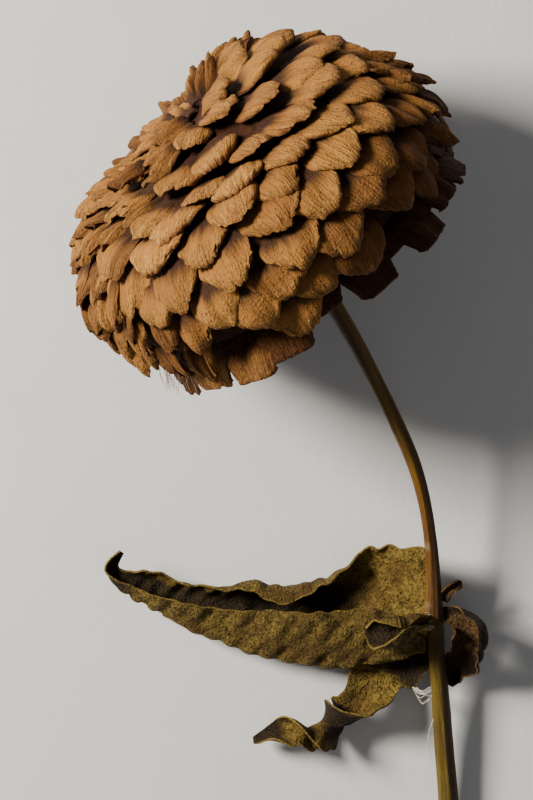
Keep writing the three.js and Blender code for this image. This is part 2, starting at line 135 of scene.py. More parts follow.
class Finish:
    """One finish of the flower, with the nodes that make it."""

    def __init__(self, name, roughness, specular=0.35):
        self.material = bpy.data.materials.new(name)
        self.material.use_nodes = True
        self.tree = self.material.node_tree
        self.shader = self.tree.nodes["Principled BSDF"]
        self.shader.inputs["Roughness"].default_value = roughness
        self.shader.inputs["Specular IOR Level"].default_value = specular
        self.place = self.node("TexCoord")["Object"]

    def node(self, kind, settings=None, sockets=None):
        """Adds a node of a kind with its settings and what its sockets hold, and gives its outputs by name."""
        made = self.tree.nodes.new("ShaderNode" + kind)
        for key, value in (settings or {}).items():
            if key == "stops":
                ramp = made.color_ramp
                for _ in value[2:]:
                    ramp.elements.new(0.5)
                for stop, (place, colour) in zip(ramp.elements, value):
                    stop.position = place
                    stop.color = (*colour, 1)
            else:
                setattr(made, key, value)
        for key, value in (sockets or {}).items():
            socket = made.inputs[key]
            if isinstance(value, Value):
                self.tree.links.new(value.socket, socket)
            elif isinstance(value, tuple) and len(value) == 3 and socket.type == "RGBA":
                socket.default_value = (*value, 1)
            else:
                socket.default_value = value
        outputs = {}
        for output in made.outputs:
            if output.enabled and output.name not in outputs:
                outputs[output.name] = Value(self, output)
        return outputs

    def math(self, operation, *terms):
        return self.node("Math", {"operation": operation}, dict(enumerate(terms)))["Value"]

    def blend(self, share, first, second, how="MIX"):
        """Mixes two colours."""
        settings = {"data_type": "RGBA", "blend_type": how}
        return self.node("Mix", settings, {0: share, 6: first, 7: second})["Result"]

    def ramp(self, value, stops):
        return self.node("ValToRGB", {"stops": stops}, {0: value})["Color"]

    def between(self, value, low, high):
        """A soft step from 0 at low to 1 at high."""
        settings = {"interpolation_type": "SMOOTHSTEP"}
        return self.node("MapRange", settings, {0: value, 1: low, 2: high})["Result"]

    def noise(self, scale, detail, roughness=0.55):
        """Soft noise through the piece, whose scale is about how many patches fit in a metre."""
        sockets = {"Vector": self.place, "Scale": scale, "Detail": detail, "Roughness": roughness}
        return self.node("TexNoise", None, sockets)["Fac"]

    def drawn_out(self, x, y, z, detail, roughness=0.55):
        """Soft noise with three directions of its own, which draw it out along a blade or a stalk."""
        vector = self.node("CombineXYZ", None, {0: x, 1: y, 2: z})["Vector"]
        sockets = {"Vector": vector, "Scale": 1.0, "Detail": detail, "Roughness": roughness}
        return self.node("TexNoise", None, sockets)["Fac"]

    def cells(self, scale):
        """How far each spot is from the middle of the cell that it is in."""
        return self.node("TexVoronoi", None, {"Vector": self.place, "Scale": scale})["Distance"]

    def attribute(self, name):
        return self.node("Attribute", {"attribute_name": name})["Fac"]

    def across_and_along(self):
        """The piece's own two directions, each from 0 to 1."""
        parts = self.node("SeparateXYZ", None, {0: self.node("TexCoord")["UV"]})
        return parts["X"], parts["Y"]

    def wear(self, colour, relief, depth, roughness=None):
        """Gives the finish its colour, and its relief as a bump that is depth metres deep."""
        self.tree.links.new(colour.socket, self.shader.inputs["Base Color"])
        bump = self.node("Bump", None, {"Strength": 1.0, "Distance": depth, "Height": relief})
        self.tree.links.new(bump["Normal"].socket, self.shader.inputs["Normal"])
        if roughness is not None:
            self.tree.links.new(roughness.socket, self.shader.inputs["Roughness"])
        return self.material


def petal_finish(name, root, middle, tip, furrow_shade):
    """Papery dried petal: painted shade where the next petal covers its root, paler on its ridges towards the
    tip.
    """
    finish = Finish(name, 0.82, 0.25)
    across, along = finish.across_and_along()
    tone = finish.attribute("tone")
    tuck = finish.attribute("tuck")
    age = finish.attribute("age")
    wander = finish.noise(500.0, 2.0) * 1.5
    streaks = finish.drawn_out(across * 36 + wander, along * 3.6 + wander, tone * 60, 3.0, 0.6)
    pimples = finish.between(finish.cells(1500.0), 0.55, 0.15)
    folds = finish.drawn_out(across * 9, along * 1.6, tone * 40 + 7, 2.0, 0.5)
    grain = finish.noise(2600.0, 3.0)
    patches = finish.noise(210.0, 3.0)
    pits = finish.between(finish.cells(900.0), 0.2, 0.08) * finish.between(finish.noise(260.0, 2.0), 0.5, 0.66)
    paler = finish.between(along + (patches - 0.5) * 0.5, 0.42, 0.8)
    # Painted shade: the root colour darkens the part of each petal that the next petal covers
    colour = finish.blend(finish.between(along + (folds - 0.5) * 0.3, 0.17, 0.48), root, middle)
    colour = finish.blend(paler * finish.between(streaks, 0.36, 0.6), colour, tip)
    # Painted shade: the furrows between the fine ridges are darkened
    colour = finish.blend(finish.between(streaks, 0.46, 0.3) * 0.5, colour, furrow_shade, "MULTIPLY")
    tints = [(0.0, (0.74, 0.68, 0.62)), (0.5, (0.97, 0.95, 0.92)), (1.0, (1.1, 1.1, 1.06))]
    colour = finish.blend(1.0, colour, finish.ramp(tone, tints), "MULTIPLY")
    # Curled-under edges: partly the petal's own darker margin, partly painted shade under the curl
    dark_margin_and_shade = finish.between(tuck + (patches - 0.5) * 0.5, 0.12, 0.7)
    # Painted shade: the petal's back face is darkened
    back = 1 - finish.attribute("under")
    specks = finish.between(finish.noise(1500.0, 3.0) + along * 0.3, 0.72, 0.84)
    browns_and_shades = [
        (dark_margin_and_shade * 0.9, (0.08, 0.024, 0.009)),
        (back * 0.8, (0.1, 0.028, 0.01)),
        (specks * 0.5, (0.16, 0.06, 0.022)),
        (pits * 0.8, (0.06, 0.022, 0.01)),
    ]
    for share, brown in browns_and_shades:
        colour = finish.blend(share, colour, brown)
    # Darkened by its mark of painted shade and ageing: mostly painted shade, partly random darkening
    colour = finish.blend(age, colour, (0.16, 0.06, 0.03), "MULTIPLY")
    relief = streaks * (0.6 + 0.7 * paler) + pimples * 0.1 + grain * 0.22 + folds * 0.3 - pits * 0.5
    return finish.wear(colour, relief, 0.0008)


def core_finish():
    finish = Finish("bloom_heart", 0.95, 0.1)
    patches = finish.noise(400.0, 3.0)
    colour = finish.ramp(patches, [(0.3, (0.012, 0.005, 0.003)), (0.7, (0.055, 0.02, 0.009))])
    return finish.wear(colour, finish.noise(1500.0, 3.0), 0.0004)


def bract_finish():
    finish = Finish("bract_husk", 0.7)
    across, along = finish.across_and_along()
    tone = finish.attribute("tone")
    streaks = finish.drawn_out(across * 16, along * 3, tone * 30, 3.0)
    colour = finish.ramp(streaks, [(0.3, (0.07, 0.045, 0.016)), (0.7, (0.22, 0.15, 0.05))])
    rim = finish.between(along + (streaks - 0.5) * 0.3, 0.74, 0.95)
    colour = finish.blend(rim, colour, (0.03, 0.014, 0.009))
    return finish.wear(colour, streaks, 0.0003)


def stem_finish():
    finish = Finish("stem_bark", 0.55, 0.25)
    around, along = finish.across_and_along()
    fibres = finish.drawn_out(around * 34, along * 16, 0.0, 4.0, 0.65)
    bands = finish.drawn_out(around * 7, along * 7, 3.0, 2.0, 0.5)
    grain = finish.noise(1800.0, 3.0)
    hue = finish.ramp(along, [
        (0.0, (0.07, 0.042, 0.007)),
        (0.13, (0.19, 0.118, 0.022)),
        (0.27, (0.22, 0.13, 0.02)),
        (0.36, (0.19, 0.085, 0.007)),
        (0.52, (0.18, 0.08, 0.006)),
        (0.6, (0.13, 0.062, 0.007)),
        (0.66, (0.145, 0.1, 0.007)),
        (1.0, (0.15, 0.108, 0.008)),
    ])
    tints = [(0.3, (0.42, 0.3, 0.25)), (0.55, (0.85, 0.8, 0.75)), (0.75, (1.25, 1.25, 1.15))]
    colour = finish.blend(1.0, hue, finish.ramp(bands, tints), "MULTIPLY")
    colour = finish.blend(finish.between(fibres, 0.55, 0.34) * 0.7, colour, (0.055, 0.025, 0.012))
    colour = finish.blend(finish.between(fibres, 0.58, 0.75) * 0.45, colour, (0.3, 0.19, 0.03))
    colour = finish.blend(finish.attribute("scar"), colour, (0.62, 0.5, 0.3))
    # Painted shade on the stem's sides and under the leaf node
    colour = finish.blend(finish.attribute("dusk"), colour, (0.05, 0.024, 0.014))
    relief = fibres + grain * 0.25
    return finish.wear(colour, relief, 0.00025, finish.between(grain, 0.2, 0.9) * 0.3 + 0.42)


def leaf_finish(name, light, middle, dark, brown):
    """Dry leaf: granular, with fine side veins, dark with painted shade in its hollows and pale along its
    edge.
    """
    finish = Finish(name, 0.8, 0.25)
    across, along = finish.across_and_along()
    patches = finish.noise(120.0, 4.0)
    blotches = finish.noise(420.0, 5.0, 0.7)
    grain = finish.noise(1500.0, 4.0, 0.7)
    crumbs = finish.between(finish.cells(1300.0), 0.42, 0.1)
    off_rib = finish.math("ABSOLUTE", across - 0.5)
    rib = finish.between(off_rib, 0.02, 0.004)
    branch = finish.math("SINE", along * 78 - off_rib * 60 + patches * 7)
    branch = finish.between(branch, 0.8, 1.0) * finish.between(off_rib, 0.49, 0.3)
    veins = finish.math("MAXIMUM", rib, branch * 0.6)
    colour = finish.ramp(blotches * 0.45 + grain * 0.55, [(0.34, dark), (0.45, middle), (0.58, light)])
    colour = finish.blend(finish.between(patches, 0.44, 0.62) * 0.7, colour, brown)
    colour = finish.blend(veins * 0.35, colour, light)
    edge = finish.between(off_rib + (blotches - 0.5) * 0.02, 0.474, 0.495)
    # Painted shade: the leaf's hollows, trough and curled tips are darkened nearly to black, except at the
    # pale edge
    hollow_shade = finish.attribute("shade") * finish.between(edge, 1.0, 0.0)
    colour = finish.blend(finish.attribute("under") * 0.3, colour, dark)
    colour = finish.blend(hollow_shade * 0.9, colour, (0.014, 0.007, 0.003))
    colour = finish.blend(edge * 0.6, colour, light)
    colour = finish.blend(finish.between(grain, 0.48, 0.36) * 0.5, colour, dark)
    relief = blotches * 0.7 + grain * 1.1 + crumbs * 0.3 + veins * 0.25
    return finish.wear(colour, relief, 0.0009)


def thread_finish(name, dark, pale):
    finish = Finish(name, 0.6, 0.4)
    shades = finish.noise(300.0, 2.0)
    colour = finish.ramp(shades, [(0.3, dark), (0.7, pale)])
    return finish.wear(colour, shades, 0.00002)


def floor_finish():
    finish = Finish("studio_floor", 0.85, 0.2)
    paper = finish.noise(40.0, 3.0)
    colour = finish.ramp(paper, [(0.3, (0.71, 0.7, 0.68)), (0.7, (0.74, 0.73, 0.71))])
    return finish.wear(colour, finish.noise(900.0, 2.0), 0.00005)


# The root colour is painted shade, for where the next petal covers a petal's root
tan = petal_finish("petal_tan", root=(0.045, 0.016, 0.005), middle=(0.31, 0.132, 0.025),
                   tip=(0.43, 0.208, 0.045), furrow_shade=(0.46, 0.3, 0.19))
heart = core_finish()
silk = thread_finish("silk", dark=(0.42, 0.36, 0.29), pale=(0.74, 0.69, 0.6))
torn = thread_finish("torn_petal", dark=(0.2, 0.1, 0.045), pale=(0.42, 0.25, 0.12))
husk = bract_finish()
bark = stem_finish()
olive = leaf_finish("leaf_olive", light=(0.27, 0.18, 0.032), middle=(0.11, 0.067, 0.009),
                    dark=(0.018, 0.009, 0.002), brown=(0.105, 0.052, 0.008))
umber = leaf_finish("leaf_umber", light=(0.15, 0.08, 0.02), middle=(0.05, 0.022, 0.005),
                    dark=(0.01, 0.004, 0.002), brown=(0.03, 0.011, 0.003))

bpy.ops.mesh.primitive_grid_add(x_subdivisions=8, y_subdivisions=8, size=3)
floor = bpy.context.object
floor.name = "studio_floor"
floor.data.materials.append(floor_finish())


# Thin blades: petals, bracts and leaves are each bent from one flat slab
class Slab:
    """A flat slab, two wide and two long, whose rows and columns lie closer towards its edges."""

    def __init__(self, name, columns, rows):
        self.columns = columns
        self.rows = rows
        deselect()
        bpy.ops.mesh.primitive_grid_add(x_subdivisions=columns, y_subdivisions=rows, size=2)
        self.flat = bpy.context.object
        self.flat.name = name
        wall = self.flat.modifiers.new("wall", "SOLIDIFY")
        wall.thickness = 1
        wall.offset = -1
        bpy.ops.object.modifier_apply(modifier="wall")
        spots = np.empty(len(self.flat.data.vertices) * 3)
        self.flat.data.vertices.foreach_get("co", spots)
        spots = spots.reshape(-1, 3)
        self.column = np.rint((spots[:, 0] + 1) * columns / 2).astype(int)
        self.row = np.rint((spots[:, 1] + 1) * rows / 2).astype(int)
        self.under = (spots[:, 2] < -0.5).astype(float)
        even = np.linspace(-1, 1, columns + 1)
        self.u = np.sign(even) * (1 - (1 - np.abs(even)) ** 1.3)
        self.v = 1 - (1 - np.linspace(0, 1, rows + 1)) ** 1.35

    def blade(self, name, surface, thickness, marks):
        """A copy of the slab bent onto a surface of points, with what its vertices are marked with."""
        blade = self.flat.copy()
        blade.data = self.flat.data.copy()
        blade.name = name
        bpy.context.collection.objects.link(blade)
        down_rows = np.gradient(surface, axis=0)
        down_columns = np.gradient(surface, axis=1)
        out = np.cross(down_columns, down_rows)
        out /= np.linalg.norm(out, axis=2, keepdims=True) + 1e-9
        both = np.stack([surface, surface - out * thickness])
        points = both[self.under.astype(int), self.row, self.column]
        points[:, 2] = np.maximum(points[:, 2], 0)
        blade.data.vertices.foreach_set("co", (points * MM).ravel())
        for mark, value in {**marks, "under": self.under}.items():
            layer = blade.data.attributes.new(mark, "FLOAT", "POINT")
            value = np.asarray(value, float)
            if value.ndim == 2:
                value = value[self.row, self.column]
            layer.data.foreach_set("value", np.broadcast_to(value, len(points)).astype(np.float32))
        return blade

    def remove(self):
        bpy.data.objects.remove(self.flat)


def join(name, blades, finish):
    """Joins blades into one piece with a finish."""
    deselect()
    for blade in blades:
        blade.select_set(True)
    bpy.context.view_layer.objects.active = blades[0]
    if len(blades) > 1:
        bpy.ops.object.join()
    piece = bpy.context.object
    piece.name = name
    piece.data.materials.clear()
    piece.data.materials.append(finish)
    bpy.ops.object.shade_smooth_by_angle(angle=math.radians(50))
    return piece


def place_piece(piece, material_slot, *nodes):
    """Hands a finished piece to the frame."""
    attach(piece, "root")
    if nodes:
        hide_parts(*nodes)


# The bloom's own directions: along its axis, across it, and down into the floor. A turn of 0 is across it, to
# the right and up in the picture, 90 degrees faces the floor, 180 the left and 270 the camera.
lean = math.radians(35)
rise = math.radians(22)
bloom_axis = np.array([-math.sin(lean), math.cos(lean), math.tan(rise)])
bloom_axis /= np.linalg.norm(bloom_axis)
bloom_across = np.array([math.cos(lean), math.sin(lean), 0])
bloom_deep = np.cross(bloom_axis, bloom_across)
bloom_centre = bloom_place + np.array([0, 0, 38])

bloom_radius = 40
crown_height = 24.5
skirt_height = 29
rim_angle = 117
rim_droop = 7
droop_turn = math.radians(185)
neck_turn = math.radians(270)
neck_gap = 6.5
low_turn = math.radians(195)
flank_turn = math.radians(130)
lit_turn = math.radians(222)
hollow_angle = 0.07
petal_length = 11
petal_thickness = 0.45
petal_spread = 0.62


def bloom_points(radius, along, turn, side):
    """Points from their distance round and along the bloom's axis, at a turn, and sideways from there."""
    x = radius * math.cos(turn) - side * math.sin(turn)
    y = radius * math.sin(turn) + side * math.cos(turn)
    return (bloom_centre + x[..., None] * bloom_across + y[..., None] * bloom_deep
            + along[..., None] * bloom_axis)


def dome_at(angle, turn):
    """A spot on the dome: radius, place along the axis, outward direction, and the length of a radian."""
    angle = np.asarray(angle, float)
    height = np.where(angle < math.pi / 2, crown_height, skirt_height)
    stretch = np.hypot(bloom_radius * np.cos(angle), height * np.sin(angle))
    out = height * np.sin(angle) / stretch
    up = bloom_radius * np.cos(angle) / stretch
    # The dried head is fuller right of its crown and at its upper shoulder, sunken on its left and slimmer
    # at its right rim
    sunken = smooth(-0.5, 0.1, math.cos(turn - math.radians(190)))
    bulge = 2.6 * facing(turn, 23, 2) * hump(angle, 0.45, 0.36) - 3.4 * sunken * hump(angle, 0.5, 0.32)
    bulge += (1.8 * facing(turn, 45, 4) * hump(angle, 0.8, 0.3)
              - 1.6 * facing(turn, 5, 4) * hump(angle, 1.3, 0.3))
    return (bloom_radius * np.sin(angle) + bulge * out, height * np.cos(angle) + bulge * up, out, up, stretch)


def droop_at(turn):
    """From -1 to 1, how much lower the rim hangs at a turn."""
    return math.cos(turn - droop_turn)


def rim_at(turn):
    """The angle from the crown at which the dome ends."""
    return math.radians(rim_angle + rim_droop * droop_at(turn))


def neck_clearance(turn):
    """How far the hanging petals stay back where the stem comes out."""
    return neck_gap * hump(turn, neck_turn, 0.24)


def waves(rng, spot, count, lowest, highest):
    """A smooth random line from -1 to 1, made of a few sine waves."""
    made = np.zeros_like(spot, dtype=float)
    for _ in range(count):
        made = made + np.sin(rng.uniform(lowest, highest) * spot + rng.uniform(0, 2 * math.pi))
    return made / count


def dried_form(crisp, nod=0.0):
    """How a petal dried: broad and cushioned at 0, narrow, sharp and wavy at 1, with a tip that nods over."""
    return {"corners": (0.42 + 0.5 * crisp, 0.8 + 0.5 * crisp), "square": 2.4 - 0.7 * crisp,
            "tip_curl": max(0.9 - 0.6 * crisp, 0.15) + nod,
            "side_curl": max(0.8 - 0.6 * crisp, 0.15), "wave": 0.3 + 0.55 * crisp}


hanging_form = {"corners": (0.1, 0.3), "square": 4, "tip_curl": 0.5, "side_curl": 0.6, "wave": 0.3}


def petal_sheet(rng, slab, half_width, length, fan, form):
    """A petal before it is placed: how far each spot lies along it and beside it, its height, and its tuck.

    The tip and the sides curl under, the tip's edge is ragged, and fine ridges fan out along the petal. Its
    corners fall back by shares of its half width. The tuck is 1 where an edge has curled right under.
    """
    u, v = np.meshgrid(slab.u, slab.v)
    corner = half_width * rng.uniform(*form["corners"])
    ragged = 0.4 * waves(rng, u, 3, 4, 9) + 0.24 * waves(rng, u, 2, 14, 24)
    notch = rng.uniform(-0.6, 0.6)
    cut = rng.uniform(0, 1.3) ** 2 * hump(u, notch, rng.uniform(0.08, 0.16))
    reach = length - corner * np.abs(u) ** form["square"] - cut + ragged
    along = v * reach
    width = half_width * fan(v) * (1 + 0.05 * waves(rng, v, 2, 5, 11))
    skew = rng.uniform(-0.12, 0.12)
    side = u * width * (1 + skew * u * v)

    # The tip curls under
    bend = rng.uniform(0.5, 1.5)
    radius = form["tip_curl"] * (1 + 0.35 * waves(rng, u, 2, 2, 6))
    arc = radius * bend
    left = np.clip(reach - along, 0, arc)
    angle = (arc - left) / radius
    on_curl = left < arc
    curled = np.where(on_curl, reach - arc + radius * np.sin(angle), along)
    drop = np.where(on_curl, radius * (1 - np.cos(angle)), 0)
    overhang = float(np.mean(arc - radius))

    # The sides curl under
    side_bend = rng.uniform(0.6, 1.4)
    side_curl = min(form["side_curl"], 0.24 * half_width)
    side_radius = side_curl * smooth(0.15, 0.6, v) * (1 + 0.3 * waves(rng, v, 2, 3, 8)) + 0.05
    side_arc = side_radius * side_bend
    inward = np.clip((1 - np.abs(u)) * width, 0, side_arc)
    side_angle = (side_arc - inward) / side_radius
    on_side = inward < side_arc
    rolled = np.sign(u) * (width - side_arc + side_radius * np.sin(side_angle))
    side = np.where(on_side, rolled, side)
    drop = drop + np.where(on_side, side_radius * (1 - np.cos(side_angle)), 0)

    # Ridges and waves
    fade = smooth(0.05, 0.5, v)
    sway = 0.5 * waves(rng, v, 2, 2, 4)
    height = 0.1 * fade * waves(rng, u + 0.12 * sway, 3, 17, 30)
    height += form["wave"] * fade * waves(rng, u + 0.3 * sway, 2, 4, 8)
    height += 0.3 * fade * waves(rng, v + 0.4 * u, 2, 5, 9)
    tuck = np.clip(np.maximum(angle * on_curl / 2.0, side_angle * on_side / 2.0), 0, 1)
    return u, v, curled, side, height - drop, tuck, length - overhang


def crowding(tip_angle, turn):
    """From 0 to 1, how narrow and crisp petals dried: most on the left flank, at the low and the right rim."""
    far = smooth(-0.25, 0.4, math.cos(turn - flank_turn)) * smooth(1.5, 1.2, tip_angle)
    low = hump(turn % (2 * math.pi), low_turn, 0.7) * smooth(1.15, 1.5, tip_angle)
    right = 0.8 * facing(turn, 355, 4) * smooth(0.95, 1.3, tip_angle)
    return float(max(far, low, right))


def shingle(rng, slab, name, tip_angle, turn, width, lift, slope, arch, roll, sway, form, marks):
    """One petal on the dome, which stands off it by its lift at the tip and slopes down to its root."""

    def fan(v):
        return (0.8 + 0.35 * smooth(0, 0.55, v)) * (1 - 0.26 * smooth(0.68, 1.0, v) ** 2)

    u, v, along, side, height, tuck, length = petal_sheet(rng, slab, width, petal_length, fan, form)
    back = length - along
    stretch = dome_at(tip_angle, turn)[4]
    angle = tip_angle - back / stretch
    dive = np.maximum(hollow_angle - angle, 0) * stretch
    radius, axial, out, up, _ = dome_at(np.maximum(angle, hollow_angle), turn)
    height = height + lift - slope * back - dive - arch * u ** 2 + roll * side
    height = height + 0.5 * np.sin(math.pi * np.clip(back / 8.5, 0, 1))
    side = side + sway * (8 - back)
    surface = bloom_points(radius + height * out, axial + height * up, turn, side)
    return slab.blade(name, surface, petal_thickness, {"tuck": tuck, **marks})


def shingle_petals(slab):
    """The petals that shingle the dome, in a golden spiral from the crown to the rim.

    The first four have fallen, which leaves a pit at the crown, and so have those over the lit hanging pair.
    Painted shade darkens the petals round the crown and on the right flank.
    """
    draw = draws_from(7)
    rng = np.random.default_rng(70)
    count = 140
    petals = []
    for number in range(count):
        share = (number + 0.5) / count
        turn = golden_turn * number + (next(draw) - 0.5) * 0.14
        tip_angle = rim_at(turn) * share ** petal_spread + (next(draw) - 0.5) * 0.13
        near = float(smooth(0.3, -0.3, math.sin(turn)))
        erect = hump(tip_angle, 0, 0.4)
        flat = hump(tip_angle, 0, 0.6)
        small = hump(tip_angle, 0, 0.85)
        crowded = max(crowding(tip_angle, turn), 0.6 * hump(tip_angle, 0, 0.25))
        width = 6.1 * (0.86 + 0.26 * next(draw)) * (1 - 0.42 * small) * (1 - 0.44 * crowded)
        lift = 1.2 + (next(draw) - 0.5) * 1.1 - 2.4 * hump(tip_angle, 0, 0.17)
        lift += 0.5 * erect * (1 - near) + 0.9 * flat * near
        slope = 0.36 - 0.14 * crowded
        next(draw)  # the solids take this one for a petal's curl
        arch = 0.8 * (0.9 + 0.7 * next(draw))
        roll = (next(draw) - 0.5) * (0.24 + 0.3 * small + 0.4 * crowded)
        sway = (next(draw) - 0.5) * 0.24
        # Painted shade on the right flank and on the petals round the crown, plus some random darkening among
        # crowded petals
        shaded = facing(turn, 345) * float(smooth(0.4, 0.85, share))
        age = 0.85 * hump(tip_angle, 0, 0.2) + 0.8 * shaded + 0.2 * rng.uniform(0, 1) * crowded
        marks = {"tone": rng.uniform(0, 1), "age": min(age, 1)}
        fallen_at_crown = number < 4
        fallen_at_rim = tip_angle > 1.95 and facing(turn, 220) > 0.9
        if not fallen_at_crown and not fallen_at_rim:
            petals.append(shingle(rng, slab, f"petal_{number}", tip_angle, turn, width, lift, slope, arch,
                                  roll, sway, dried_form(crowded, 0.5 * flat * near), marks))
    return petals


def shard_petals(slab):
    """Narrow petals that dried upright between the others, where the bloom is crowded."""
    rng = np.random.default_rng(17)
    count = 210
    petals = []
    for number in range(count):
        turn = golden_turn * number + 1.1 + rng.uniform(-0.1, 0.1)
        share = (number + 0.5) / count
        tip_angle = rim_at(turn) * share ** petal_spread
        if crowding(tip_angle, turn) < 0.55 or tip_angle < 0.3:
            continue
        width = rng.uniform(1.4, 2.6)
        marks = {"tone": rng.uniform(0, 1), "age": rng.uniform(0.1, 0.6)}
        petals.append(shingle(rng, slab, f"shard_{number}", tip_angle, turn, width, rng.uniform(1.0, 2.8),
                              rng.uniform(0.2, 0.7), 0.4, rng.uniform(-0.5, 0.5), rng.uniform(-0.2, 0.2),
                              dried_form(1.3), marks))
    return petals


def run_through(stations, share):
    """A smooth run through given stations, each a list of numbers, at shares of the whole run."""
    stations = np.asarray(stations, float)
    place = np.clip(np.asarray(share, float), 0, 1) * (len(stations) - 1)
    start = np.minimum(place.astype(int), len(stations) - 2)
    t = (place - start)[..., None]
    a, b, c, d = (stations[np.clip(start + step, 0, len(stations) - 1)] for step in (-1, 0, 1, 2))
    return 0.5 * (2 * b + (c - a) * t + (2 * a - 5 * b + 4 * c - d) * t ** 2
                  + (3 * b - a - 3 * c + d) * t ** 3)


def hanging_petal(rng, slab, name, turn, spine, width, sway, marks):
    """One old petal, along a spine from the receptacle to its tip.

    Columns of the spine: radius, place along the bloom's axis, two for the way its outer side faces, and half
    the width.
    """
    run = run_through(spine, np.linspace(0, 1, 60))
    gone = np.concatenate([[0], np.cumsum(np.hypot(np.diff(run[:, 0]), np.diff(run[:, 1])))])
    length = gone[-1] + 0.6

    def fan(v):
        return np.interp(v * length, gone, run[:, 4]) / width

    u, v, along, side, height, tuck, _ = petal_sheet(rng, slab, width, length, fan, hanging_form)
    radius, axial, out, up = (np.interp(along, gone, run[:, i]) for i in range(4))
    height = height - 0.5 * u ** 2
    surface = bloom_points(radius + height * out, axial + height * up, turn, side + sway * v)
    return slab.blade(name, surface, petal_thickness, {"tuck": tuck, **marks})


def hanging_petals(slab):
    """The oldest petals, which run out under the dome from the receptacle and hang at the rim."""
    draw = draws_from(11)
    rng = np.random.default_rng(110)
    count = 20
    petals = []
    for number in range(count):
        turn = (number + 0.4 * (next(draw) - 0.5)) * 2 * math.pi / count
        width = 6.2 * (0.8 + 0.25 * next(draw))
        drop = 2.4 * next(draw)
        droop = droop_at(turn)
        reach = 1.6 * (next(draw) - 0.5)
        clear = neck_clearance(turn)
        sway = 1.6 * (next(draw) - 0.5)
        layer = 0.5 * (number % 2)
        spine = [
            [6.8, -9.8, -0.1, 0.99, 1.3],
            [18, -11.1 - layer, 0.1, 0.99, 2.6],
            [32 - 1.4 * droop - 0.6 * clear, -11.6 - 1.6 * droop - layer, 0.6, 0.8, width],
            [36.2 - 2 * droop + reach - clear, -16.4 - 3.4 * droop - drop + 0.5 * clear, 0.97, 0.2,
             0.8 * width],
        ]
        # Painted shade: the hanging petals are darkened all round, most where they run under the dome, least
        # on the lit pair
        lit = hump(turn, lit_turn, 0.35)
        sheltered = smooth(0.91, 0.78, np.repeat(slab.v[:, None], slab.columns + 1, 1))
        age = rng.uniform(0.85, 0.95) * (1 - 0.85 * lit)
        marks = {"tone": rng.uniform(0, 0.8), "age": np.maximum(age, 0.93 * sheltered)}
        petals.append(hanging_petal(rng, slab, f"hanging_petal_{number}", turn, spine, width, sway, marks))
    return petals


def sheltered_petals(slab):
    """Shorter petals under the dome, darkened with painted shade, which fill the gaps between the hanging
    ones.
    """
    rng = np.random.default_rng(57)
    count = 20
    petals = []
    for number in range(count):
        turn = (number + 0.5) * 2 * math.pi / count + rng.uniform(-0.06, 0.06)
        droop = droop_at(turn)
        clear = neck_clearance(turn)
        width = rng.uniform(4.6, 5.6)
        reach = rng.uniform(-1.8, 0.2)
        spine = [
            [6.8, -9.6, -0.1, 0.99, 1.3],
            [18, -10.6, 0.1, 0.99, 2.6],
            [31 - 1.4 * droop - 0.6 * clear, -10.4 - 1.6 * droop, 0.6, 0.8, width],
            [34 - 2 * droop + reach - clear, -14.6 - 3.4 * droop + 0.5 * clear, 0.97, 0.2, 0.85 * width],
        ]
        # Painted shade: these petals under the dome are darkened throughout
        marks = {"tone": rng.uniform(0, 0.5), "age": 0.93}
        petals.append(hanging_petal(rng, slab, f"sheltered_petal_{number}", turn, spine, width, 0.0, marks))
    return petals


def bloom_heart():
    """The dark body that the petals stand out of."""
    depth = 2.4
    dome_share = 0.75
    deselect()
    bpy.ops.mesh.primitive_uv_sphere_add(segments=64, ring_count=40, radius=1)
    body = bpy.context.object
    for vertex in body.data.vertices:
        turn = math.atan2(vertex.co.y, vertex.co.x)
        share = math.acos(max(-1.0, min(1.0, vertex.co.z))) / math.pi
        rim = rim_at(turn) - math.radians(13)
        radius, along, out, up, _ = dome_at(rim * min(share / dome_share, 1), turn)
        radius, along = radius - depth * out, along - depth * up
        if share >= dome_share:
            profile = [[radius, along], [27, -11.8 - 0.9 * droop_at(turn)],
                       [10, -10.4], [6.5, -11.1], [0, -11.1]]
            radius, along = run_through(profile, (share - dome_share) / (1 - dome_share))
        point = bloom_points(np.array(float(radius)), np.array(float(along)), turn, np.array(0.0))
        vertex.co = (point[0] * MM, point[1] * MM, max(point[2], 0.0) * MM)
    return join("bloom_heart", [body], heart)


petal_slab = Slab("petal_slab", 34, 16)
shingles = shingle_petals(petal_slab)
for tier, first, last in (("petals_crown", 0, 44), ("petals_flank", 44, 92), ("petals_rim", 92, None)):
    place_piece(join(tier, shingles[first:last], tan), "petals", "bloom")
petal_slab.remove()
shard_slab = Slab("shard_slab", 16, 14)
place_piece(join("petals_shards", shard_petals(shard_slab), tan), "petals", "bloom")
shard_slab.remove()
hanging_slab = Slab("hanging_slab", 30, 30)
place_piece(join("petals_hanging", hanging_petals(hanging_slab), tan), "petals", "bloom")
place_piece(join("petals_sheltered", sheltered_petals(hanging_slab), tan), "petals", "bloom")
hanging_slab.remove()
place_piece(bloom_heart(), "petals", "bloom")


# The involucre: a cup under the receptacle, tiled outside with rows of rounded bracts
cup_top = -11.4
cup_height = 10
cup_base = cup_top - cup_height
cup_foot = 2.2
cup_swell = 5.4


def cup_at(share):
    """The cup's radius and its place along the bloom's axis, at a share of its height."""
    swell = np.sin(np.clip(share, 0, 1) * 0.5 * math.pi) ** 0.8
    return cup_foot + cup_swell * swell, cup_base + cup_height * np.asarray(share, float)


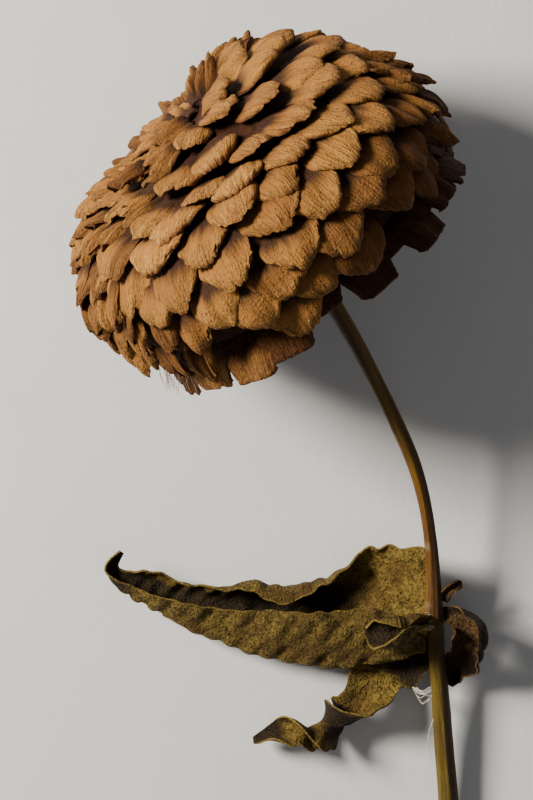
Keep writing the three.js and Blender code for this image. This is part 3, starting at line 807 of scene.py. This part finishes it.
def involucre_cup():
    deselect()
    bpy.ops.mesh.primitive_uv_sphere_add(segments=40, ring_count=20, radius=1)
    body = bpy.context.object
    for vertex in body.data.vertices:
        turn = math.atan2(vertex.co.y, vertex.co.x)
        share = 1 - math.acos(max(-1.0, min(1.0, vertex.co.z))) / math.pi
        if share > 0.9:
            radius, along = (cup_foot + cup_swell) * (1 - share) * 10, cup_top
        elif share < 0.1:
            radius, along = cup_foot * share * 10, cup_base
        else:
            radius, along = cup_at((share - 0.1) / 0.8)
        vertex.co = bloom_points(np.array(float(radius)), np.array(float(along)), turn, np.array(0.0)) * MM
    return body


def involucre_bracts(slab):
    draw = draws_from(23)
    rng = np.random.default_rng(230)
    bracts = []
    for row, count in enumerate((7, 8, 9)):
        for number in range(count):
            turn = (number + 0.5 * row + 0.2 * next(draw)) * 2 * math.pi / count
            start = 0.06 + 0.2 * row
            u, v = np.meshgrid(slab.u, slab.v)
            share = start + 0.36 * v * (1 - 0.22 * np.abs(u) ** 2.5)
            radius, along = cup_at(np.minimum(share, 0.97))
            half = np.interp(slab.v, [0, 0.6, 0.85, 1], [1.5, 2.4, 2.1, 1.3])[:, None]
            height = -0.3 + 1.05 * v - 0.45 * u ** 2 + 0.06 * waves(rng, u, 2, 8, 14)
            surface = bloom_points(radius + 0.9 * height, along - 0.43 * height, turn, -u * half)
            bracts.append(slab.blade(f"bract_{row}_{number}", surface, 0.35, {"tone": rng.uniform(0, 1)}))
    return bracts


bract_slab = Slab("bract_slab", 12, 8)
involucre = join("involucre_husk", [involucre_cup(), *involucre_bracts(bract_slab)], husk)
place_piece(involucre, "bracts", "involucre")
bract_slab.remove()


# The stem's route from the involucre to its cut end. Columns of a station: x, y, z, radius
stem_cuts = 240
scar_rings = (80, 114, 139)
node_share = 0.642
stem_route = [
    [13.9, -18.8, 28.6, 1.76],
    [18.9, -26.9, 24.9, 1.6],
    [23.4, -35.3, 21.7, 1.46],
    [27.7, -43.9, 18.6, 1.45],
    [31.4, -52.3, 16, 1.4],
    [33.7, -60.2, 13.8, 1.3],
    [35.1, -68.3, 11.9, 1.32],
    [35.8, -76.9, 10.1, 1.6],
    [35.9, -84.6, 8.7, 2.1],
    [36.6, -93.2, 7.2, 1.7],
    [37.4, -101.9, 5.9, 1.86],
    [38.2, -112.2, 4.7, 2],
    [39.1, -122.5, 3.7, 2.04],
    [39.9, -138.4, 2.6, 2.04],
    [40.7, -154.4, 1.98, 2.04],
]
stem_start = bloom_points(np.array(0.0), np.array(cup_base - 0.3), 0.0, np.array(0.0)) - bloom_place
stem_route.insert(0, [*stem_start, 2.0])


def stem_frame(share):
    """The stem's middle, its radius, and the directions across it and over it, at shares of its run."""
    spot = run_through(stem_route, share)
    ahead = run_through(stem_route, share + 0.01)[..., :3] - run_through(stem_route, share - 0.01)[..., :3]
    forward = ahead / np.linalg.norm(ahead, axis=-1, keepdims=True)
    across = np.cross([0.0, 0.0, 1.0], forward)
    across /= np.linalg.norm(across, axis=-1, keepdims=True)
    return spot[..., :3] + bloom_place, spot[..., 3], across, np.cross(forward, across)


def tube(name, sides, cuts):
    """A cylinder with a ring at every cut, two wide and one high, from the origin up."""
    deselect()
    bpy.ops.mesh.primitive_cylinder_add(vertices=sides, radius=1, depth=1, location=(0, 0, 0.5))
    bpy.ops.object.transform_apply(location=True)
    made = bpy.context.object
    made.name = name
    bpy.ops.object.mode_set(mode="EDIT")
    bpy.ops.mesh.select_mode(type="EDGE")
    bpy.ops.mesh.select_all(action="DESELECT")
    bpy.ops.object.mode_set(mode="OBJECT")
    for edge in made.data.edges:
        low, high = (made.data.vertices[i].co.z for i in edge.vertices)
        edge.select = abs(low - high) > 0.5
    bpy.ops.object.mode_set(mode="EDIT")
    bpy.ops.mesh.subdivide(number_cuts=cuts)
    bpy.ops.mesh.select_mode(type="FACE")
    bpy.ops.mesh.select_all(action="DESELECT")
    bpy.ops.object.mode_set(mode="OBJECT")
    return made


def turn_outward(piece):
    """Turns a piece's faces so that they all face out."""
    deselect()
    piece.select_set(True)
    bpy.context.view_layer.objects.active = piece
    bpy.ops.object.mode_set(mode="EDIT")
    bpy.ops.mesh.select_all(action="SELECT")
    bpy.ops.mesh.normals_make_consistent(inside=False)
    bpy.ops.object.mode_set(mode="OBJECT")


def stem_tube():
    """The ribbed stalk, with a pit in its cut end, its ring scars and painted shade on its sides and under the
    node.
    """
    stem = tube("stem_tube", 32, stem_cuts)
    for face in stem.data.polygons:
        face.select = abs(face.normal.z) > 0.9
    bpy.ops.object.mode_set(mode="EDIT")
    bpy.ops.mesh.inset(thickness=0.25)
    bpy.ops.mesh.inset(thickness=0.35)
    bpy.ops.object.mode_set(mode="OBJECT")

    rng = np.random.default_rng(31)
    spots = np.array([vertex.co for vertex in stem.data.vertices])
    share = 1 - np.clip(spots[:, 2], 0, 1)
    turn = np.arctan2(spots[:, 1], spots[:, 0])
    far = np.hypot(spots[:, 0], spots[:, 1])
    middle, radius, across, over = stem_frame(share)
    ribs = 0.05 * np.cos(3 * turn)
    for count, size in ((8, 0.035), (11, 0.025), (5, 0.03)):
        start = rng.uniform(0, 6)
        twist = 2.5 * np.sin(5 * share + rng.uniform(0, 6))
        ribs = ribs + size * np.sin(count * turn + start + twist)
    ribs = ribs + 0.02 * waves(rng, share, 3, 60, 160)
    pit = np.where(far < 0.45, 0.35 * (1 - far / 0.45), 0)
    reach = (radius * far * (1 + ribs * np.minimum(far, 1)))[:, None]
    points = middle + across * reach * np.cos(turn)[:, None] + over * reach * np.sin(turn)[:, None]
    cut_end = share > 0.999
    points = points - np.cross(across, over) * (pit * cut_end)[:, None]
    points[:, 2] = np.maximum(points[:, 2], 0)
    stem.data.vertices.foreach_set("co", (points * MM).ravel())
    turn_outward(stem)

    layer = stem.data.uv_layers[0].data
    for face in stem.data.polygons:
        turns = [turn[stem.data.loops[loop].vertex_index] / (2 * math.pi) + 0.5 for loop in face.loop_indices]
        wraps = max(turns) - min(turns) > 0.5
        for loop, value in zip(face.loop_indices, turns):
            vertex = stem.data.loops[loop].vertex_index
            layer[loop].uv = (value + 1 if wraps and value < 0.5 else value, share[vertex])
    right = np.cos(turn)
    scar = 0.7 * cut_end * (far < 0.8)
    for ring in scar_rings:
        scar = np.maximum(scar, hump(share * (stem_cuts + 1), ring, 0.4) * smooth(-0.2, 0.5, -right))
    patchy = 0.75 + 0.25 * waves(rng, share, 3, 9, 25)
    # Painted shade on the stem: a dark band under the leaf node, its right side lower down and its left side
    # by the bloom
    shade_at_node = 0.9 * hump(share, node_share, 0.017) * smooth(-0.7, 0.5, right + 0.4)
    shade_below = 0.85 * smooth(-0.2, 0.7, right) * patchy * smooth(0.2, 0.34, share)
    shade_above = 0.97 * smooth(-0.45, 0.2, -right) * smooth(0.23, 0.14, share)
    dusk = np.maximum(np.maximum(shade_at_node, shade_below), shade_above)
    for mark, value in (("scar", scar), ("dusk", dusk)):
        stem.data.attributes.new(mark, "FLOAT", "POINT").data.foreach_set("value", value.astype(np.float32))
    return join("stem_stalk", [stem], bark)


place_piece(stem_tube(), "stem", "stem")


# Leaves. A station has x, y, z, heading and turn of the face, then width, fold, bend and roll of each half
large_leaf = [
    [34.2, -91.6, 8, 179, 81, 3, 66, 12, 0, 22, 86, 8, 0],
    [25.5, -93.8, 6.8, 182, 86, 11.6, 64, 20, 0, 24, 70, 30, 30],
    [14.5, -94.6, 6.4, 178, 90, 12, 62, 25, 0, 25, 47, 70, 90],
    [3, -92.8, 6.2, 170, 90, 10.2, 62, 25, 0, 22.5, 38, 86, 175],
    [-8, -89.4, 5.8, 162, 90, 7.2, 60, 20, 0, 17, 44, 74, 125],
    [-19, -84.6, 5.8, 154, 88, 4.8, 60, 10, 0, 9.4, 42, 80, 50],
    [-27.7, -79.6, 6.6, 140, 80, 2.4, 50, 10, 0, 6.6, 50, 60, 60],
    [-31.4, -74.9, 7.8, 100, 60, 1.3, 40, 10, 0, 2.4, 30, 20, 0],
    [-28.9, -70.8, 8.8, 60, 40, 0.8, 30, 0, 0, 1, 20, 0, 0],
]
small_leaf = [
    [35.2, -84.7, 10.4, 195, 0, 1.4, 40, 60, 0, 1.4, 40, 60, 0],
    [32.4, -85.4, 12, 195, 0, 4.6, 20, 130, 0, 4.6, 20, 120, 0],
    [29.4, -86.4, 12.4, 193, 0, 8.4, 12, 155, 0, 7.8, 12, 150, 0],
    [26.4, -87.2, 12.4, 188, 0, 8.2, 12, 130, 0, 7, 12, 120, 0],
    [23.8, -87.5, 12.6, 180, 0, 5.2, 10, 90, 0, 4.4, 10, 90, 0],
    [21.8, -87.3, 13, 170, 0, 0.8, 10, 20, 0, 0.8, 10, 20, 0],
]
lower_leaf = [
    [35.4, -87.4, 5.7, 236, 0, 1.6, 0, 0, 0, 1.6, 0, 0, 0],
    [32.2, -91.2, 3.6, 228, 0, 4.6, 0, 10, 0, 4.2, 0, 10, 0],
    [28, -94.2, 3, 222, 0, 6.6, 0, 15, 0, 4.6, 5, 20, 0],
    [23.8, -97, 3.5, 248, 5, 6, 5, 25, 0, 4.8, 0, 15, 0],
    [22, -101.8, 5, 256, 12, 5.4, 10, 30, 0, 5.2, 10, 40, 0],
    [19, -106, 6.8, 226, 80, 6.2, 20, 70, 0, 6.8, 20, 80, 0],
    [13.8, -107, 7.2, 196, 210, 6, 20, 80, 0, 6.4, 20, 80, 0],
    [8.6, -107.8, 6.2, 198, 325, 4.8, 20, 70, 0, 4.8, 20, 70, 0],
    [3.4, -109.4, 5, 190, 400, 3.4, 10, 60, 0, 3.4, 10, 60, 0],
    [-1.5, -110.2, 4.2, 184, 430, 0.7, 10, 0, 0, 0.7, 10, 0, 0],
]
right_leaf = [
    [38, -84, 8.2, 10, 0, 1.6, 20, 20, 0, 1.6, 20, 20, 0],
    [41.2, -84, 9.6, -30, 10, 3, 20, 70, 0, 3.4, 20, 60, 0],
    [43.9, -86.2, 10.4, -66, 14, 5.4, 20, 90, 40, 5, 10, 60, 0],
    [44.7, -89.8, 9.8, -92, 8, 6, 25, 90, 60, 5.6, 5, 50, 20],
    [43, -93.2, 7.4, -116, 0, 4.6, 20, 80, 40, 5, 10, 40, 0],
    [40.8, -96.2, 5, -118, 0, 2.8, 15, 60, 0, 4, 10, 30, 0],
    [39.2, -98.8, 4, -120, 0, 0.8, 10, 10, 0, 0.8, 10, 10, 0],
]
shoot_leaf = [
    [37.8, -81, 9.4, 62, 0, 0.8, 20, 20, 0, 0.8, 20, 20, 0],
    [38.8, -79, 10.2, 50, 0, 1.4, 30, 60, 0, 1.4, 30, 60, 0],
    [40.4, -77.8, 10.6, 25, 0, 1.2, 30, 60, 0, 1.2, 30, 60, 0],
    [41.8, -77.4, 10.6, 15, 0, 0.6, 10, 10, 0, 0.6, 10, 10, 0],
]


def leaf_surface(stations, slab, seed, ripple, ripples, crumple):
    """A folded and rolled leaf, with a rippled edge and crumpled cells."""
    rng = np.random.default_rng(seed)
    u, v = np.meshgrid(slab.u, np.linspace(0, 1, slab.rows + 1))
    values = run_through(stations, v)
    point = values[..., :3] + bloom_place
    heading, twist = np.radians(values[..., 3]), np.radians(values[..., 4])
    forward = np.stack([np.cos(heading), np.sin(heading), 0 * heading], -1)
    level = np.stack([np.sin(heading), -np.cos(heading), 0 * heading], -1)
    up = np.cross(level, forward)
    right = level * np.cos(twist)[..., None] + np.cross(forward, level) * np.sin(twist)[..., None]
    face = np.cross(right, forward)
    half = np.where((u < 0)[..., None], values[..., 5:9], values[..., 9:13])
    lobes = waves(rng, v + 0.3 * np.sign(u), 3, 18, 46)
    edge = np.where(u < 0, 0.05, 0.04) * lobes + 0.03 * waves(rng, v, 3, 70, 170)
    width = half[..., 0] * (1 + edge)
    reach = np.abs(u)
    side = np.where(u < 0, -1.0, 1.0)
    steps = 16
    for step in range(steps):
        at = reach * (step + 0.5) / steps
        angle = np.radians(half[..., 1] + half[..., 2] * at + half[..., 3] * at ** 4)
        point = point + right * (side * width * reach * np.cos(angle) / steps)[..., None]
        point = point + face * (width * reach * np.sin(angle) / steps)[..., None]
    out = right * (-side * np.sin(angle))[..., None] + face * np.cos(angle)[..., None]
    wave = ripple * reach ** 2 * np.sin(2 * math.pi * ripples * v + 2 * side)
    size = np.minimum(width / 4, 1) * crumple
    for _ in range(7):
        across, along = rng.uniform(-0.55, 0.55), rng.uniform(-0.45, 0.45)
        phase = point[..., 0] * across + (point[..., 1] + 1.3 * point[..., 2]) * along
        wave = wave + 0.16 * size * np.sin(phase * rng.uniform(1.2, 3.4) + rng.uniform(0, 6))
    groove = -0.22 * hump(reach, 0, 0.05) * np.minimum(width / 4, 1)
    return point + out * (wave + groove - 0.12)[..., None]


def leaf(name, stations, finish, hollow_shade, nodes, seed, grid, ripple, ripples, crumple=1.0):
    """A leaf, whose hollow tells how much painted shade its upper face has at each place across and along it.
    """
    slab = Slab(name + "_slab", *grid)
    surface = leaf_surface(stations, slab, seed, ripple, ripples, crumple)
    u, v = np.meshgrid(slab.u, np.linspace(0, 1, slab.rows + 1))
    blade = slab.blade(name + "_blade", surface, 0.38, {"shade": hollow_shade(u, v)})
    slab.remove()
    place_piece(join(name, [blade], finish), *nodes)


# Masks of painted shade on each leaf's upper face, where its folds and curls hollow it
def large_hollow_shade(u, v):
    trough = smooth(0.02, 0.16, u) * smooth(0.92, 0.7, u) * smooth(0.12, 0.24, v)
    return np.maximum(trough, smooth(0.72, 0.8, v) * smooth(0.95, 0.8, np.abs(u)))


def small_hollow_shade(u, v):
    return smooth(0.9, 0.6, np.abs(u)) * smooth(0.3, 0.5, v)


def lower_hollow_shade(u, v):
    base = smooth(0.32, 0.24, v)
    curl = smooth(0.5, 0.56, v) * smooth(0.7, 0.64, v)
    return np.maximum(base, np.maximum(curl, smooth(0.82, 0.88, v)))


def right_hollow_shade(u, v):
    return np.maximum(smooth(0.6, 0.75, v), smooth(0.1, 0.5, -u))


def shoot_hollow_shade(u, v):
    return 0.6 * smooth(0.3, 0.8, v)


leaf("large_leaf", large_leaf, olive, large_hollow_shade, ("leaf_olive", "leaf_large"), 41, (64, 150), 0.7, 3.4)
leaf("lower_leaf", lower_leaf, olive, lower_hollow_shade, ("leaf_olive", "leaf_lower"), 42, (48, 130), 0.5, 3)
leaf("small_leaf", small_leaf, olive, small_hollow_shade, ("leaf_olive", "leaf_small"), 43, (40, 60), 0.2, 2, 0.6)
leaf("right_leaf", right_leaf, umber, right_hollow_shade, ("leaf_brown", "leaf_right"), 44, (40, 70), 0.6, 3)
leaf("shoot_leaf", shoot_leaf, umber, shoot_hollow_shade, ("leaf_brown", "leaf_shoot"), 45, (24, 30), 0.1, 1, 0.5)


# Fine threads: silk between the lower leaf and the stem, a loose hair and fuzz at the node, and torn petal
# threads at the low rim
def thread(name, path, radius):
    """A thin fibre through the places of its path, in the flower's own frame."""
    fibre = tube(name, 5, 26)
    spots = np.array([vertex.co for vertex in fibre.data.vertices])
    share = spots[:, 2]
    ahead = run_through(path, share + 0.02) - run_through(path, share - 0.02)
    ahead /= np.linalg.norm(ahead, axis=1, keepdims=True)
    across = np.cross([0.1, 0.2, 1.0], ahead)
    across /= np.linalg.norm(across, axis=1, keepdims=True)
    over = np.cross(ahead, across)
    reach = radius * (1 - 0.6 * share[:, None] ** 3)
    points = run_through(path, share) + bloom_place
    points = points + across * reach * spots[:, :1] + over * reach * spots[:, 1:2]
    fibre.data.vertices.foreach_set("co", (points * MM).ravel())
    turn_outward(fibre)
    return fibre


def node_threads():
    rng = np.random.default_rng(63)
    hair = [[36.2, -105.4, 6.2], [35.1, -108.4, 7], [34.9, -111.4, 6.8],
            [35.4, -113.6, 6.2], [36.3, -115.2, 5.8]]
    threads = [thread("loose_hair", hair, 0.09)]
    for number in range(9):
        start = np.array([31.3 + rng.uniform(0, 1.6), -99.2 - rng.uniform(0, 0.6), 4.2])
        end = np.array([35.9, -98.6 - rng.uniform(0, 2.6), 6.6 + rng.uniform(-0.6, 0.8)])
        sag = np.array([rng.uniform(-0.6, 0.6), -rng.uniform(0.8, 2.6), rng.uniform(0, 1.2)])
        later = start * 0.3 + end * 0.7 + sag * rng.uniform(0.3, 1.1)
        threads.append(thread(f"silk_{number}", [start, start * 0.6 + end * 0.4 + sag, later, end], 0.07))
    for number in range(14):
        start = np.array([36 + rng.uniform(-0.8, 0.2), -85 - rng.uniform(-2, 2), 10.6])
        end = start + [-rng.uniform(0.6, 2.4), rng.uniform(-0.8, 0.8), rng.uniform(0, 0.8)]
        bow = rng.uniform(-0.4, 0.4, 3)
        threads.append(thread(f"fuzz_{number}", [start, (start + end) / 2 + bow, end], 0.05))
    return threads


def rim_threads():
    rng = np.random.default_rng(64)
    threads = []
    for number in range(16):
        turn = math.radians(rng.uniform(183, 212))
        angle = rim_at(turn) - math.radians(rng.uniform(2, 10))
        radius, along, out, up, _ = dome_at(angle, turn)
        path = []
        drift = rng.uniform(-1.5, 1.5)
        for step in range(4):
            lift, fall = 0.6 + 0.5 * step * rng.uniform(0.2, 1), 1.5 * step * rng.uniform(0.6, 1)
            spot = bloom_points(np.array(radius + lift * out + fall * 0.2), np.array(along + lift * up - fall),
                                turn, np.array(drift * step * 0.6))
            path.append(spot - bloom_place)
        threads.append(thread(f"torn_thread_{number}", path, 0.07))
    return threads


place_piece(join("silk_threads", node_threads(), silk), "stem")
place_piece(join("rim_threads", rim_threads(), torn), "petals")
